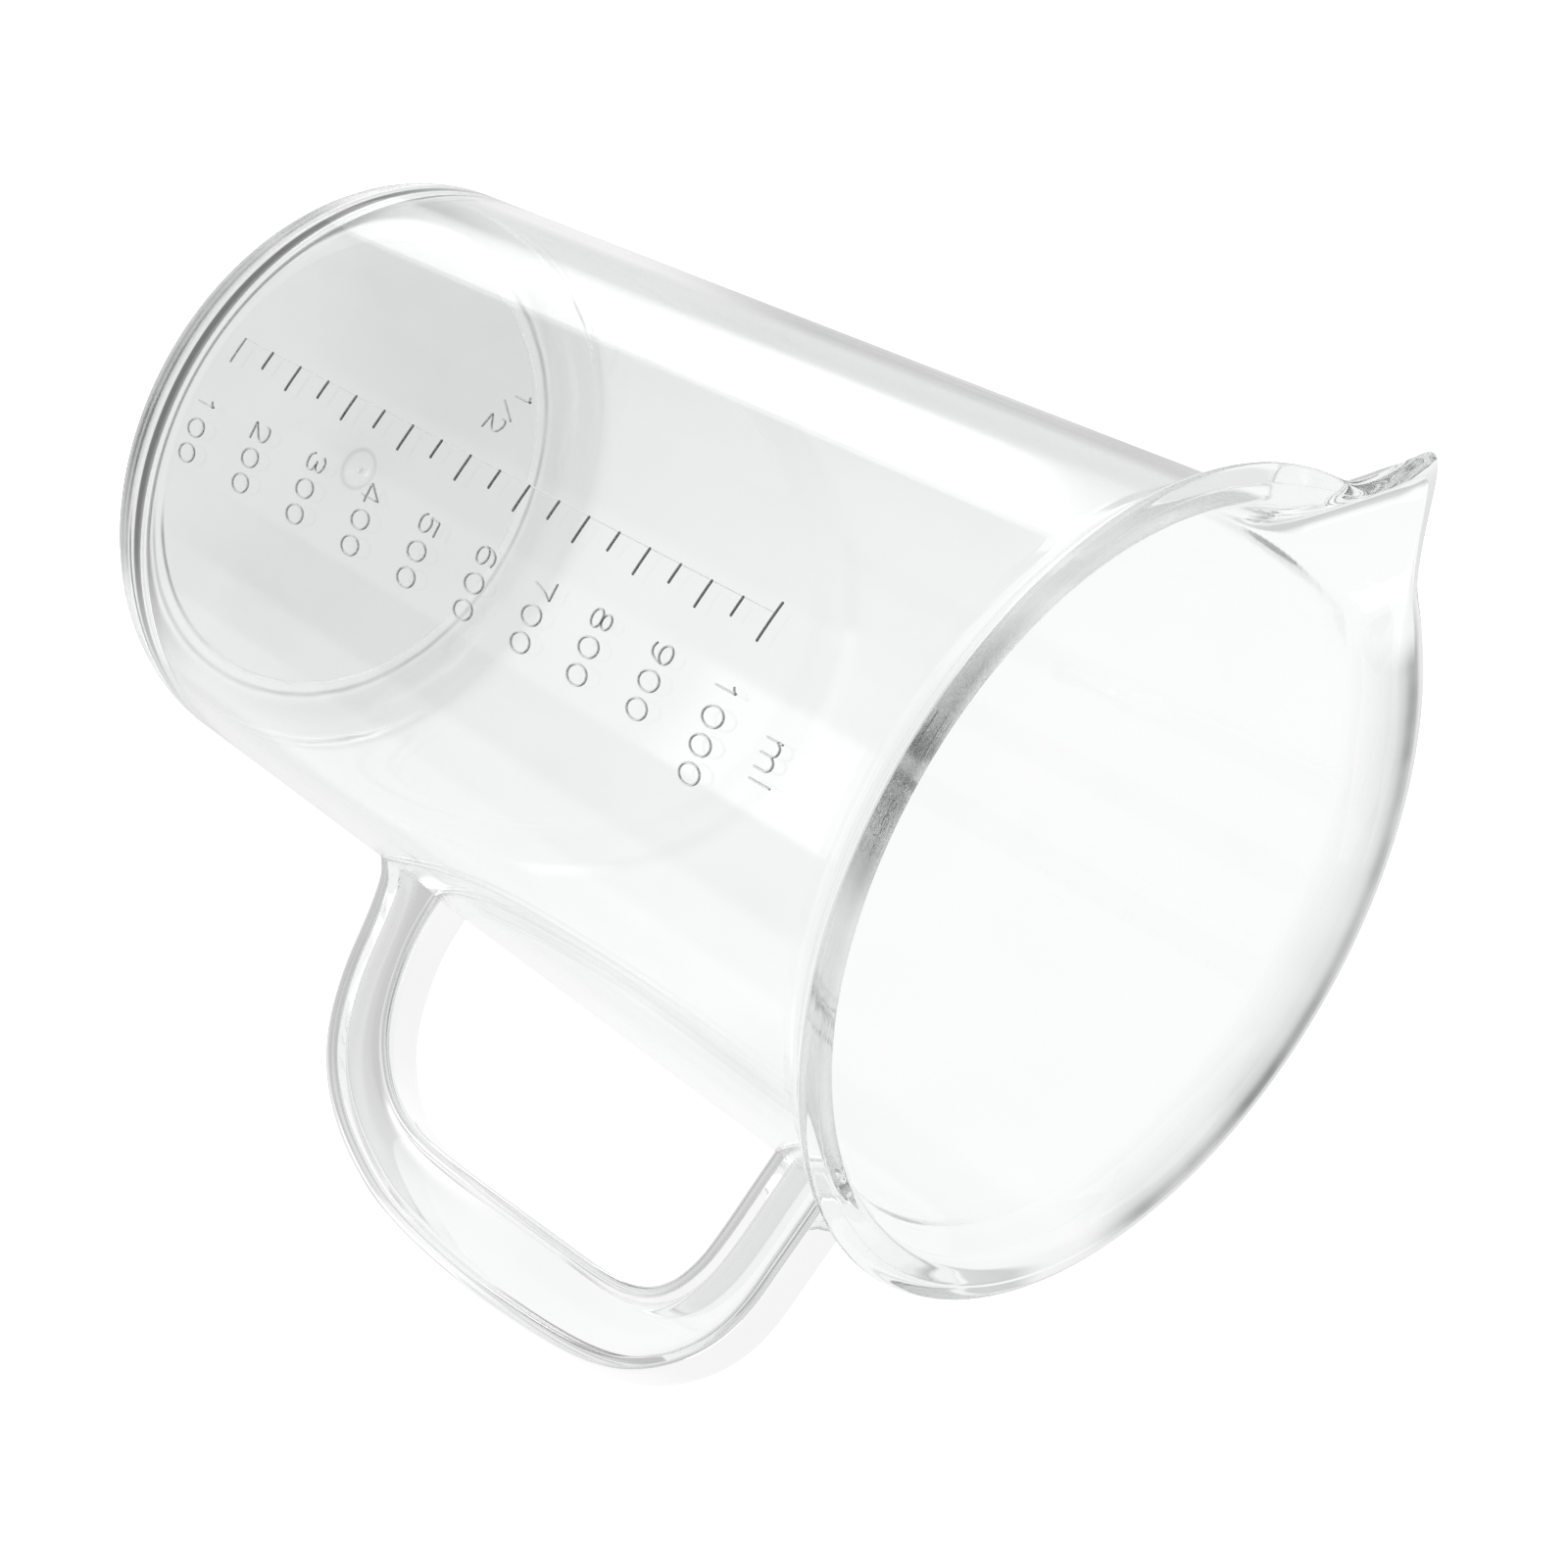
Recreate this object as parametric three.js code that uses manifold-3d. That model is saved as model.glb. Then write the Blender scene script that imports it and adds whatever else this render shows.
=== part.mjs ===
// Clear one-litre measuring jug: tapered beaker, out-turned rim, V beak,
// I-section handle and a raised millilitre scale. Millimetres, +Z up.
// Origin: on the beaker's axis, in the plane that the foot stands on.
// Handle towards +X, beak towards -X, scale on the front (-Y).
import * as THREE from "three";
import { ConvexGeometry } from "three/addons/geometries/ConvexGeometry.js";
import { mergeVertices } from "three/addons/utils/BufferGeometryUtils.js";
import Module from "manifold-3d";

// ---- beaker
const R0 = 48.68; // outside radius of the wall, carried down to z = 0
const TAPER = 0.038; // radius gained per mm of height
const WALL = 2.3; // wall thickness
const FLOOR_TOP = 2.0; // inside of the bottom
const PANEL_Z = 0.4; // underside of the recessed bottom panel
const PANEL_R = 41.2; // where the panel meets the foot
const FOOT_R = 42.2; // inner edge of the flat that stands on the table
const SPLIT_R = 43.0; // foot to wall
const CORNER = 5.1; // outside bottom corner radius
const CORNER_IN = 3.5; // inside bottom corner radius
const WALL_TOP = 161; // wall ends, rim begins
const SEG = 80; // facets around

// ---- rim: outside, over the crest and down the inside (radius, height)
const RIM_TOP = 169.05;
const RIM = [
  [55.6, 162.6],
  [56.9, 164.4],
  [58.6, 166.2],
  [60.1, 167.3],
  [60.55, 167.75],
  [60.6, 168.25],
  [60.35, 168.75],
  [59.8, RIM_TOP],
  [58.2, RIM_TOP],
  [57.0, 168.93],
  [55.9, 168.7],
  [55.1, 168.33],
  [54.5, 167.8],
  [53.95, 166.8],
  [53.4, 165.2],
  [52.9, 163.2],
];

// ---- beak
const BEAK_HALF_DEG = 14.3; // half of the sector that the beak takes out of the rim
const BEAK_BOTTOM = 147.6; // lowest point of the patch of wall that carries the beak
const TIP_OUT = [-72.2, 0, 168.5];
const TIP_IN = [-68.8, 0, 169.3];
const VALLEY_OUT = [-52.6, 0, 148.1];
const VALLEY_IN = [-52.5, 0, 152.2];
const ROOT_OUT = [-60.1, 14.75, RIM_TOP];
const ROOT_IN = [-57.6, 13.4, 169.3];
const GAP = 0.3; // clearance between pieces that are cut to each other

// ---- handle, in the XZ plane (x, z)
const HANDLE_W = 8.4; // width of the flanges along Y
const WEB_T = 2.0; // thickness of the web along Y
const FLANGE_OUT = 2.1;
const FLANGE_IN = 1.9;
const HANDLE_OUTSIDE = [
  [46.0, 53.6],
  [50.3, 57.0],
  [53.0, 59.6],
  [57.1, 61.3],
  [61.6, 62.7],
  [65.8, 63.9],
  [69.8, 65.4],
  [73.9, 67.4],
  [77.7, 69.9],
  [81.2, 73.1],
  [84.5, 77.2],
  [87.3, 81.9],
  [89.8, 87.6],
  [92.0, 94.4],
  [93.2, 101.0],
  [93.9, 108.5],
  [94.2, 118.0],
  [93.9, 127.1],
  [93.2, 135.6],
  [92.2, 141.4],
  [90.7, 146.0],
  [88.5, 149.8],
  [85.6, 153.1],
  [82.0, 155.9],
  [77.8, 157.8],
  [72.8, 158.7],
  [66.2, 158.8],
  [56.0, 158.8],
  [46.0, 158.8],
];
const HANDLE_GAP = [
  [46.0, 72.2],
  [51.5, 72.3],
  [55.1, 72.5],
  [58.7, 73.2],
  [62.4, 74.4],
  [66.3, 76.1],
  [69.7, 78.0],
  [72.9, 80.5],
  [76.1, 84.1],
  [78.9, 88.4],
  [80.4, 92.9],
  [81.0, 99.0],
  [81.0, 108.6],
  [80.8, 117.8],
  [80.8, 127.2],
  [80.8, 134.0],
  [80.4, 138.6],
  [79.3, 142.1],
  [77.4, 144.7],
  [74.6, 146.4],
  [71.0, 147.3],
  [66.6, 147.4],
  [59.0, 147.3],
  [52.0, 147.2],
  [46.0, 147.2],
];

// ---- scale
const RIB_H = 0.35; // how far a rib stands out
const RIB_W = 0.5; // how wide it is
const RIB_SEAT = 0.03; // clearance to the wall behind it
const MAJOR = 4.1; // length of a 100 ml tick
const MINOR = 2.9; // length of a 50 ml tick

const wasm = await Module();
wasm.setup();

const outsideR = (z) => R0 + TAPER * z;
const insideR = (z) => R0 - WALL + TAPER * z;

// ---- helpers
function solid(geometry) {
  let g = geometry.clone();
  g.deleteAttribute("normal");
  g.deleteAttribute("uv");
  g = mergeVertices(g, 1e-4);
  const p = g.attributes.position.array;
  const src = g.index.array;
  const tri = [];
  let vol = 0;
  const v = (i) => new THREE.Vector3(p[3 * i], p[3 * i + 1], p[3 * i + 2]);
  for (let i = 0; i < src.length; i += 3) {
    const [a, b, c] = [src[i], src[i + 1], src[i + 2]];
    if (a === b || b === c || c === a) continue;
    tri.push(a, b, c);
    vol += v(a).dot(v(b).cross(v(c)));
  }
  if (vol < 0)
    for (let i = 0; i < tri.length; i += 3)
      [tri[i + 1], tri[i + 2]] = [tri[i + 2], tri[i + 1]];
  return new wasm.Manifold(
    new wasm.Mesh({
      numProp: 3,
      vertProperties: new Float32Array(p),
      triVerts: new Uint32Array(tri),
    }),
  );
}

// A profile of [radius, height] pairs turned about Z.
function turned(profile, segments = SEG) {
  const g = new THREE.LatheGeometry(
    profile.map(([r, z]) => new THREE.Vector2(r, z)),
    segments,
  );
  g.rotateX(Math.PI / 2);
  return solid(g);
}
const ring = (profile) => turned([...profile, profile[0]]);

// A closed outline of [x, y] pairs raised from z0 to z1.
function prism(outline, z0, z1) {
  const s = new THREE.Shape(outline.map(([x, y]) => new THREE.Vector2(x, y)));
  const g = new THREE.ExtrudeGeometry(s, { depth: z1 - z0, bevelEnabled: false });
  g.translate(0, 0, z0);
  return solid(g);
}

// A closed outline of [x, z] pairs, given thickness along Y about y = 0.
function plate(outline, thickness) {
  const s = new THREE.Shape(outline.map(([x, z]) => new THREE.Vector2(x, z)));
  const g = new THREE.ExtrudeGeometry(s, { depth: thickness, bevelEnabled: false });
  g.translate(0, 0, -thickness / 2);
  g.rotateX(Math.PI / 2);
  return solid(g);
}

const hull = (points) =>
  solid(new ConvexGeometry(points.map((q) => new THREE.Vector3(...q))));

const part = new THREE.Group();
part.name = "measuring_jug";
function add(name, body, colour = 0xe8eef0) {
  const m = body.getMesh();
  const g = new THREE.BufferGeometry();
  const n = m.numProp;
  const v = new Float32Array(m.numVert * 3);
  for (let i = 0; i < m.numVert; i++)
    v.set(m.vertProperties.subarray(i * n, i * n + 3), i * 3);
  g.setAttribute("position", new THREE.BufferAttribute(v, 3));
  g.setIndex(new THREE.BufferAttribute(new Uint32Array(m.triVerts), 1));
  g.computeVertexNormals();
  const mesh = new THREE.Mesh(
    g,
    new THREE.MeshStandardMaterial({
      color: colour,
      roughness: 0.12,
      metalness: 0,
    }),
  );
  mesh.name = name;
  part.add(mesh);
}

// ---- rounded corners of the wall's section
const lean = Math.sqrt(1 + TAPER * TAPER);
function cornerArc(rWall, zFloor, radius, steps) {
  const zc = zFloor + radius;
  const rc = rWall + TAPER * zc - radius * lean;
  const end = Math.atan2(-TAPER, 1);
  const out = [];
  for (let i = 0; i <= steps; i++) {
    const a = -Math.PI / 2 + ((end + Math.PI / 2) * i) / steps;
    out.push([rc + radius * Math.cos(a), zc + radius * Math.sin(a)]);
  }
  return out;
}
const outArc = cornerArc(R0, 0, CORNER, 6);
const inArc = cornerArc(R0 - WALL, FLOOR_TOP, CORNER_IN, 5);

// ---- bottom
add(
  "base_floor",
  turned([
    [0, PANEL_Z],
    [PANEL_R, PANEL_Z],
    [PANEL_R, FLOOR_TOP],
    [0, FLOOR_TOP],
  ]),
);
add(
  "foot_ring",
  ring([
    [PANEL_R, PANEL_Z],
    [FOOT_R, 0],
    [SPLIT_R, 0],
    [SPLIT_R, FLOOR_TOP],
    [PANEL_R, FLOOR_TOP],
  ]),
);

// ---- wall and rim as full rings
const wallRing = ring([
  [SPLIT_R, 0],
  ...outArc,
  [outsideR(60), 60],
  [outsideR(WALL_TOP), WALL_TOP],
  [insideR(WALL_TOP), WALL_TOP],
  [insideR(60), 60],
  ...inArc.slice().reverse(),
  [SPLIT_R, FLOOR_TOP],
]);
const rimRing = ring([
  [outsideR(WALL_TOP), WALL_TOP],
  ...RIM,
  [insideR(WALL_TOP), WALL_TOP],
]);

// ---- the sector that the beak takes out of them
function sector(deg, zLow) {
  const a = (deg * Math.PI) / 180;
  const at = (r, s) => [-r * Math.cos(a), s * r * Math.sin(a)];
  return prism([at(40, 1), at(84, 1), at(84, -1), at(40, -1)], zLow, 176);
}
const beakSector = sector(BEAK_HALF_DEG, BEAK_BOTTOM);
const clearance = sector(
  BEAK_HALF_DEG + ((GAP / 57) * 180) / Math.PI,
  BEAK_BOTTOM - GAP,
);
add("barrel_wall", wallRing.subtract(clearance));
add("rim_bead", rimRing.subtract(clearance));

// ---- beak: outside wedge, joined to its patch of wall, with the channel cut out
const both = ([x, y, z]) => [
  [x, y, z],
  [x, -y, z],
];
const wedge = hull([
  VALLEY_OUT,
  TIP_OUT,
  ...both(ROOT_OUT),
  [-50, 0, VALLEY_OUT[2]],
  ...both([-50, 12.6, RIM_TOP]),
]);
const inside = turned([
  [0, 100],
  [insideR(100), 100],
  [insideR(WALL_TOP), WALL_TOP],
  ...RIM.slice(8).reverse(),
  [58.2, 176],
  [0, 176],
]);
const channel = hull([
  VALLEY_IN,
  TIP_IN,
  ...both(ROOT_IN),
  [-40, 0, VALLEY_IN[2]],
  ...both([-40, ROOT_IN[1], ROOT_IN[2]]),
  [TIP_IN[0], 0, 178],
  ...both([ROOT_IN[0], ROOT_IN[1], 178]),
  ...both([-40, ROOT_IN[1], 178]),
]);
add(
  "pour_spout",
  wallRing
    .add(rimRing)
    .intersect(beakSector)
    .add(wedge.subtract(inside).intersect(beakSector))
    .subtract(channel),
);

// ---- handle
const smooth = (pts, n) =>
  new THREE.SplineCurve(pts.map(([x, z]) => new THREE.Vector2(x, z)))
    .getSpacedPoints(n)
    .map((q) => [q.x, q.y]);
// Moves a line of points sideways; positive is to the left of its direction.
function offset(pts, d) {
  return pts.map(([x, z], i) => {
    const a = pts[Math.max(i - 1, 0)];
    const b = pts[Math.min(i + 1, pts.length - 1)];
    const [tx, tz] = [b[0] - a[0], b[1] - a[1]];
    const l = Math.hypot(tx, tz);
    return [x - (tz / l) * d, z + (tx / l) * d];
  });
}
const outer = smooth(HANDLE_OUTSIDE, 44);
const outerIn = offset(outer, FLANGE_OUT);
const inner = smooth(HANDLE_GAP, 40);
const innerOut = offset(inner, -FLANGE_IN);
const wallSolid = turned([
  [0, 40],
  [outsideR(40) + GAP, 40],
  [outsideR(WALL_TOP) + GAP, WALL_TOP],
  [0, WALL_TOP],
]);
const loop = (a, b) => [...a, ...b.slice().reverse()];
add("handle_outer_flange", plate(loop(outer, outerIn), HANDLE_W).subtract(wallSolid));
add("handle_inner_flange", plate(loop(innerOut, inner), HANDLE_W).subtract(wallSolid));
add("handle_web", plate(loop(outerIn, innerOut), WEB_T).subtract(wallSolid));

// ---- scale: heights at which the inside holds 50, 100, ... 1000 ml
function levels(step, count) {
  const out = [];
  const dz = 0.02;
  const arcTop = inArc[inArc.length - 1][1];
  const radiusAt = (z) => {
    if (z >= arcTop) return insideR(z);
    const zc = FLOOR_TOP + CORNER_IN;
    return inArc[0][0] + Math.sqrt(Math.max(CORNER_IN ** 2 - (zc - z) ** 2, 0));
  };
  let v = 0;
  for (let z = FLOOR_TOP; out.length < count; z += dz) {
    v += Math.PI * radiusAt(z + dz / 2) ** 2 * dz;
    if (v >= step * 1000 * (out.length + 1)) out.push(z + dz);
  }
  return out;
}
const marks = levels(50, 20);
function rib(from, to, z) {
  const r = outsideR(z + RIB_W / 2) + RIB_SEAT;
  const a0 = -Math.PI / 2 + from / r;
  const a1 = -Math.PI / 2 + to / r;
  const s = new THREE.Shape();
  s.absarc(0, 0, r + RIB_H, a0, a1, false);
  s.absarc(0, 0, r, a1, a0, true);
  const g = new THREE.ExtrudeGeometry(s, {
    depth: RIB_W,
    bevelEnabled: false,
    curveSegments: 3,
  });
  g.translate(0, 0, z - RIB_W / 2);
  return solid(g);
}
const first = marks[1] - RIB_W / 2;
const last = marks[19] - RIB_W / 2 - 0.05;
const edge = (z, h) => [-(outsideR(z) + RIB_SEAT + h), z];
const bar = new THREE.ExtrudeGeometry(
  new THREE.Shape(
    [edge(first, 0), edge(last, 0), edge(last, RIB_H), edge(first, RIB_H)].map(
      ([y, z]) => new THREE.Vector2(y, z),
    ),
  ),
  { depth: RIB_W, bevelEnabled: false },
);
bar.translate(0, 0, -RIB_W / 2);
bar.applyMatrix4(
  new THREE.Matrix4().set(0, 0, 1, 0, 1, 0, 0, 0, 0, 1, 0, 0, 0, 0, 0, 1),
);
add("scale_spine", solid(bar), 0xd8e0e4);
for (let i = 1; i < 20; i++) {
  const ml = 50 * (i + 1);
  const start = i === 19 ? -1.8 : RIB_W / 2 + 0.05;
  const end = ml % 100 ? MINOR : MAJOR;
  add("tick_" + String(ml).padStart(4, "0"), rib(start, end, marks[i]), 0xd8e0e4);
}

export default part;
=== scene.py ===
import math

import bpy
import numpy as np
from mathutils import Matrix, Vector


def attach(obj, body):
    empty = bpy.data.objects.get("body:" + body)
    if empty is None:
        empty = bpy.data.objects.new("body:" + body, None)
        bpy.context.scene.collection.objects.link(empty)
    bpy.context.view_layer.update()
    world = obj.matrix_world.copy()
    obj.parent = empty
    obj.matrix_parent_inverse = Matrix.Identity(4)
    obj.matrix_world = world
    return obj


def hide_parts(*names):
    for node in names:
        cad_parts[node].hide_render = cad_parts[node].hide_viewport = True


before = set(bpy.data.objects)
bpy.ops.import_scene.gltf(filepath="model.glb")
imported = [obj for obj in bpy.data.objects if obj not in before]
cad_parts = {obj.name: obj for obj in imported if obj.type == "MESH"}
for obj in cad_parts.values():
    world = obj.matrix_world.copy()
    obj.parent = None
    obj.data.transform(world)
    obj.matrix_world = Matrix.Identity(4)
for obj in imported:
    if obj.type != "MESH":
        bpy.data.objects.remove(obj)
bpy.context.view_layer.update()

MM = 0.001

# ------------------------------------------------------------------ dimensions, mm
R0, TAPER, WALL = 48.68, 0.038, 2.3
FLOOR_TOP, PANEL_Z = 2.0, 0.4
CORNER, CORNER_IN = 5.1, 3.5
RIM_TOP = 169.05


def r_out(z):
    return R0 + TAPER * z


def r_in(z):
    return R0 - WALL + TAPER * z


def corner(r_wall, z_floor, radius, n):
    lean = math.sqrt(1 + TAPER * TAPER)
    zc = z_floor + radius
    rc = r_wall + TAPER * zc - radius * lean
    end = math.atan2(-TAPER, 1)
    a = np.linspace(-math.pi / 2, end, n)
    return np.stack([rc + radius * np.cos(a), zc + radius * np.sin(a)], 1)


def smooth01(t):
    t = np.clip(t, 0.0, 1.0)
    return t * t * (3 - 2 * t)


def spline(points, n):
    """Even points on a smooth curve through the given ones."""
    p = np.asarray(points, float)
    d = np.r_[0, np.cumsum(np.linalg.norm(np.diff(p, axis=0), axis=1))]
    m = np.zeros_like(p)
    m[1:-1] = (p[2:] - p[:-2]) / (d[2:] - d[:-2])[:, None]
    m[0] = (p[1] - p[0]) / (d[1] - d[0])
    m[-1] = (p[-1] - p[-2]) / (d[-1] - d[-2])
    q = np.linspace(0, d[-1], n)
    i = np.clip(np.searchsorted(d, q, side="right") - 1, 0, len(d) - 2)
    h = (d[i + 1] - d[i])[:, None]
    t = ((q - d[i]) / (d[i + 1] - d[i]))[:, None]
    return (
        (2 * t**3 - 3 * t**2 + 1) * p[i]
        + (t**3 - 2 * t**2 + t) * h * m[i]
        + (-2 * t**3 + 3 * t**2) * p[i + 1]
        + (t**3 - t**2) * h * m[i + 1]
    )


# ------------------------------------------------------------------ mesh helpers
def make(name, verts_mm, faces, material, sharp_deg=None, edge=None):
    mesh = bpy.data.meshes.new(name)
    mesh.from_pydata((np.asarray(verts_mm, float) * MM).tolist(), [], faces)
    mesh.validate()
    if edge is not None:
        mesh.attributes.new("edge", "FLOAT", "POINT").data.foreach_set("value", np.asarray(edge, np.float32))
    mesh.polygons.foreach_set("use_smooth", [True] * len(mesh.polygons))
    if sharp_deg:
        mesh.set_sharp_from_angle(angle=math.radians(sharp_deg))
    mesh.update()
    ob = bpy.data.objects.new(name, mesh)
    bpy.context.scene.collection.objects.link(ob)
    mesh.materials.append(material)
    return ob


def grid_faces(rows, cols, base=0, wrap=True):
    """Quads of a rows x cols grid of vertices, columns closed if wrap."""
    r = np.arange(rows - 1)[:, None]
    c = np.arange(cols if wrap else cols - 1)[None, :]
    c2 = (c + 1) % cols
    q = np.stack([r * cols + c, r * cols + c2, (r + 1) * cols + c2, (r + 1) * cols + c], -1)
    return (q.reshape(-1, 4) + base).tolist()


# ------------------------------------------------------------------ materials
def node(tree, kind, **inputs):
    n = tree.nodes.new(kind)
    for k, v in inputs.items():
        n.inputs[k].default_value = v
    return n


def clear_plastic(name, light, dark, wave=0.05, rough=(0.015, 0.06), shade="edge", shade_colour=(0.05, 0.055, 0.055)):
    """Clear moulded plastic: faint uneven tint, flow lines and hair scratches, with painted shade mixed into the tint.
    """
    m = bpy.data.materials.new(name)
    m.use_nodes = True
    t = m.node_tree
    t.nodes.clear()
    out = t.nodes.new("ShaderNodeOutputMaterial")
    bsdf = t.nodes.new("ShaderNodeBsdfPrincipled")
    bsdf.inputs["Transmission Weight"].default_value = 1.0
    bsdf.inputs["IOR"].default_value = 1.5
    t.links.new(bsdf.outputs["BSDF"], out.inputs["Surface"])
    where = t.nodes.new("ShaderNodeTexCoord")
    soft = node(t, "ShaderNodeTexNoise", Scale=38.0, Detail=3.0, Roughness=0.5)
    t.links.new(where.outputs["Object"], soft.inputs["Vector"])
    tint = t.nodes.new("ShaderNodeValToRGB")
    tint.color_ramp.elements[0].position = 0.3
    tint.color_ramp.elements[0].color = (*dark, 1)
    tint.color_ramp.elements[1].position = 0.7
    tint.color_ramp.elements[1].color = (*light, 1)
    t.links.new(soft.outputs["Fac"], tint.inputs["Fac"])
    # painted shade: the tint mixed towards a dark colour
    painted_shade_mix = t.nodes.new("ShaderNodeMix")
    painted_shade_mix.data_type = "RGBA"
    painted_shade_mix.inputs["B"].default_value = (*shade_colour, 1)
    t.links.new(tint.outputs["Color"], painted_shade_mix.inputs["A"])
    if shade == "edge":  # painted shade along creases and edges: the tint is mixed unevenly towards a dark colour by the vertex weights
        shade_weight = t.nodes.new("ShaderNodeAttribute")
        shade_weight.attribute_name = "edge"
        patch = node(t, "ShaderNodeTexNoise", Scale=55.0, Detail=2.0, Roughness=0.5)
        t.links.new(where.outputs["Object"], patch.inputs["Vector"])
        vary = t.nodes.new("ShaderNodeMapRange")
        for k, v in (("From Min", 0.3), ("From Max", 0.7), ("To Min", 0.7), ("To Max", 1.15)):
            vary.inputs[k].default_value = v
        t.links.new(patch.outputs["Fac"], vary.inputs["Value"])
        amount = t.nodes.new("ShaderNodeMath")
        amount.operation = "MULTIPLY"
        amount.use_clamp = True
        t.links.new(shade_weight.outputs["Fac"], amount.inputs[0])
        t.links.new(vary.outputs["Result"], amount.inputs[1])
        t.links.new(amount.outputs[0], painted_shade_mix.inputs["Factor"])
    else:  # painted shade: flanks of the strokes that face up or down the wall get a darker tint
        geo = t.nodes.new("ShaderNodeNewGeometry")
        axes = t.nodes.new("ShaderNodeSeparateXYZ")
        t.links.new(geo.outputs["Normal"], axes.inputs["Vector"])
        size = t.nodes.new("ShaderNodeMath")
        size.operation = "ABSOLUTE"
        t.links.new(axes.outputs["Z"], size.inputs[0])
        flank = t.nodes.new("ShaderNodeMapRange")
        flank.interpolation_type = "SMOOTHSTEP"
        for k, v in (("From Min", 0.12), ("From Max", 0.55), ("To Min", shade[0]), ("To Max", shade[1])):
            flank.inputs[k].default_value = v
        t.links.new(size.outputs[0], flank.inputs["Value"])
        t.links.new(flank.outputs["Result"], painted_shade_mix.inputs["Factor"])
    t.links.new(painted_shade_mix.outputs["Result"], bsdf.inputs["Base Color"])
    haze = node(t, "ShaderNodeTexNoise", Scale=90.0, Detail=4.0, Roughness=0.6)
    t.links.new(where.outputs["Object"], haze.inputs["Vector"])
    span = t.nodes.new("ShaderNodeMapRange")
    span.inputs["From Min"].default_value = 0.35
    span.inputs["From Max"].default_value = 0.75
    span.inputs["To Min"].default_value = rough[0]
    span.inputs["To Max"].default_value = rough[1]
    t.links.new(haze.outputs["Fac"], span.inputs["Value"])
    t.links.new(span.outputs["Result"], bsdf.inputs["Roughness"])
    # flow lines of the melt and fine scuffs, as a faint relief
    squeeze = t.nodes.new("ShaderNodeMapping")
    squeeze.inputs["Scale"].default_value = (70.0, 70.0, 9.0)
    t.links.new(where.outputs["Object"], squeeze.inputs["Vector"])
    flow = node(t, "ShaderNodeTexNoise", Scale=1.0, Detail=2.0, Roughness=0.45)
    t.links.new(squeeze.outputs["Vector"], flow.inputs["Vector"])
    bump = node(t, "ShaderNodeBump", Strength=wave, Distance=0.0006)
    t.links.new(flow.outputs["Fac"], bump.inputs["Height"])
    t.links.new(bump.outputs["Normal"], bsdf.inputs["Normal"])
    # light that runs along inside the wall is slowly lost
    body_ = t.nodes.new("ShaderNodeVolumeAbsorption")
    body_.inputs["Color"].default_value = (0.47, 0.5, 0.5, 1)
    body_.inputs["Density"].default_value = 0.5
    t.links.new(body_.outputs["Volume"], out.inputs["Volume"])
    return m


CLEAR = clear_plastic("clear_moulding", (0.995, 0.998, 0.998), (0.975, 0.982, 0.983))
# the raised scale carries painted shade: a grey tint, darker on flanks facing up or down the wall, and the ticks
# painted darkest
RELIEF = clear_plastic("scale_relief", (0.86, 0.87, 0.87), (0.78, 0.79, 0.79), wave=0.0, shade=(0.0, 0.85), shade_colour=(0.16, 0.165, 0.165))
TICK = clear_plastic("scale_tick", (0.86, 0.87, 0.87), (0.78, 0.79, 0.79), wave=0.0, shade=(0.8, 1.0), shade_colour=(0.1, 0.105, 0.105))

# ------------------------------------------------------------------ beaker, rim and beak
B = np.array([-52.6, 0.0, 152.4])  # bottom of the beak's valley, on the inside
T = np.array([-69.0, 0.0, 169.3])  # tip, inside
S = np.array([-57.0, 12.7, 169.3])  # root, inside
LIP = 2.75
WING = np.cross(T - B, S - B)
WING /= np.linalg.norm(WING)
if WING[0] > 0:
    WING = -WING
D_IN = float(WING @ B)
D_OUT = D_IN + LIP


def wing_r(phi, z, d, eps):
    """Radius at which the beak's wing plane stands, at angle phi from the beak."""
    s = np.sqrt(np.sin(phi) ** 2 + eps**2) - eps * np.exp(-((phi / 0.1) ** 2))
    return (d - WING[2] * z) / (-WING[0] * np.cos(phi) + WING[1] * s)


def smax(a, b, k):
    return 0.5 * (a + b + np.sqrt((a - b) ** 2 + k * k))


fine = np.radians(np.linspace(-26, 26, 181))
coarse = np.radians(np.linspace(26, 334, 231))[1:-1]
AZ = np.r_[fine, coarse] + math.pi  # the beak is at pi
COLS = len(AZ)
PHI = np.abs((AZ - math.pi + math.pi) % (2 * math.pi) - math.pi)

gate_r = np.r_[np.linspace(0.12, 1.0, 9), np.linspace(1.25, 3.75, 14)]
gate_z = PANEL_Z + 0.72 * np.cos(np.clip(gate_r / 3.6, 0, 1) * math.pi / 2) ** 2
gate_z -= 0.34 * np.cos(np.clip(gate_r / 0.75, 0, 1) * math.pi / 2) ** 2
under = [[float(r), float(z)] for r, z in zip(gate_r, gate_z)] + [
    [12.0, PANEL_Z],
    [26.0, PANEL_Z],
    [37.5, PANEL_Z],
    [37.85, PANEL_Z],
    [38.0, 0.37],
    [38.15, 0.27],
    [38.3, 0.14],
    [38.45, 0.05],
    [38.7, 0.02],
    [39.8, 0.02],
    [40.2, 0.02],
    [40.5, 0.02],
    [40.8, 0.02],
    [41.2, 0.01],
    [42.2, 0.0],
    [43.0, 0.0],
]
under = np.array(under)
out_corner = corner(R0, 0.0, CORNER, 14)
wall_z = np.r_[5.5, 5.9, 6.4, 7.0, np.linspace(9, 140, 18), np.linspace(144, 161, 24)]
outer_wall = np.stack([r_out(wall_z), wall_z], 1)
rim_under = spline(
    [
        [r_out(161), 161],
        [55.45, 162.6],
        [56.8, 164.5],
        [58.5, 166.2],
        [59.85, 167.2],
        [60.42, 167.62],
        [60.62, 168.06],
    ],
    20,
)[1:]
lip = spline([[60.62, 168.06], [60.5, 168.42], [60.15, 168.72], [59.55, 168.92], [58.9, 169.02], [58.2, RIM_TOP]], 11)[1:-1]
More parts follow.
